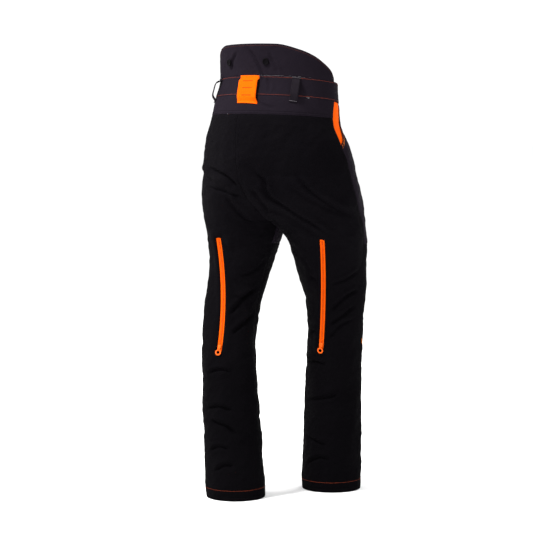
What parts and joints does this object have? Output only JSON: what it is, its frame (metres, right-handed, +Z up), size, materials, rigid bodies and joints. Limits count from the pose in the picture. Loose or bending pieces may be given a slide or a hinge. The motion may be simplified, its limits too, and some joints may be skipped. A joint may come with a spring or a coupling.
{
  "type": "chainsaw protective trousers",
  "caption": "Forestry trousers with a raised kidney flap, cut-stopping front pads and vent zips behind the knees.",
  "frame": {"origin": "middle of the object's box on the surface that the hems stand on", "axes": "+Z up the body, -Y is the way the wearer faces, +X is the wearer's left"},
  "size_m": [0.4241, 0.406, 1.1673],
  "materials": {
    "black_stretch": "matte four-way stretch twill",
    "grey_canvas": "matte hard-wearing canvas",
    "orange_tape": "woven tape with a slight sheen",
    "dark_webbing": "matte woven webbing",
    "dark_mesh": "matte knitted lining",
    "white_fibre": "matte knitted fibre",
    "black_plastic": "satin moulded",
    "gunmetal": "dark plated"
  },
  "bodies": {
    "garment": {"kidney_flap_outer": "grey_canvas", "kidney_flap_lining": "dark_mesh", "waistband_rear": "grey_canvas", "waistband_lining": "dark_mesh", "waistband_front_left": "grey_canvas", "waistband_front_right": "grey_canvas", "rear_yoke": "grey_canvas", "rear_label": "orange_tape", "waist_button": "gunmetal", "left_rear_belt_loop": "dark_webbing", "right_rear_belt_loop": "dark_webbing", "left_front_belt_loop": "dark_webbing", "right_front_belt_loop": "dark_webbing", "left_rear_brace_button": "black_plastic", "right_rear_brace_button": "black_plastic", "left_side_brace_button": "black_plastic", "right_side_brace_button": "black_plastic", "left_front_brace_button": "black_plastic", "right_front_brace_button": "black_plastic", "left_back_panel": "black_stretch", "right_back_panel": "black_stretch", "left_hip_panel": "grey_canvas", "right_hip_panel": "grey_canvas", "left_knee_panel": "black_stretch", "right_knee_panel": "black_stretch", "left_shin_panel": "black_stretch", "right_shin_panel": "black_stretch", "left_cut_pad": "white_fibre", "right_cut_pad": "white_fibre", "left_pad_lining": "dark_mesh", "right_pad_lining": "dark_mesh", "left_hem_facing": "black_stretch", "right_hem_facing": "black_stretch", "left_pocket_facing": "orange_tape", "right_pocket_facing": "orange_tape", "left_pocket_bag": "dark_mesh", "right_pocket_bag": "dark_mesh", "left_vent_tape": "orange_tape", "left_vent_coil": "orange_tape", "left_vent_mesh": "dark_mesh", "right_vent_tape": "orange_tape", "right_vent_coil": "orange_tape", "right_vent_mesh": "dark_mesh", "fly_tape": "dark_webbing", "fly_coil": "black_plastic", "fly_bottom_stop": "gunmetal", "fly_top_stop": "gunmetal", "fly_shield": "grey_canvas"},
    "left_slider": {"left_vent_slider": "gunmetal"},
    "left_ring": {"left_vent_pull": "orange_tape"},
    "right_slider": {"right_vent_slider": "gunmetal"},
    "right_ring": {"right_vent_pull": "orange_tape"},
    "fly_slider_body": {"fly_slider": "gunmetal"},
    "fly_ring": {"fly_pull": "gunmetal"}
  },
  "joints": [
    {"name": "left_vent_run", "type": "hinge", "parent": "garment", "child": "left_slider", "pos_m": [0.02758, 0.66005, 0.57199], "axis": [-0.9878, -0.1406, 0.0666], "range_deg": [0, 29.8]},
    {"name": "left_ring_swing", "type": "hinge", "parent": "left_slider", "child": "left_ring", "pos_m": [0.08401, 0.17086, 0.38415], "axis": [0.9587, 0.2841, -0.01], "range_deg": [0, 150]},
    {"name": "right_vent_run", "type": "hinge", "parent": "garment", "child": "right_slider", "pos_m": [-0.37408, 0.64003, 0.27535], "axis": [-0.9099, -0.4021, -0.102], "range_deg": [0, 22.4]},
    {"name": "right_ring_swing", "type": "hinge", "parent": "right_slider", "child": "right_ring", "pos_m": [-0.0856, -0.03868, 0.38265], "axis": [0.9559, 0.2673, 0.1216], "range_deg": [0, 150]},
    {"name": "fly_run", "type": "slide", "parent": "garment", "child": "fly_slider_body", "axis": [0, -0.1466, -0.9892], "range_m": [0, 0.1]},
    {"name": "fly_ring_swing", "type": "hinge", "parent": "fly_slider_body", "child": "fly_ring", "pos_m": [0, -0.08899, 0.99458], "axis": [-1, 0, 0], "range_deg": [0, 150]}
  ]
}
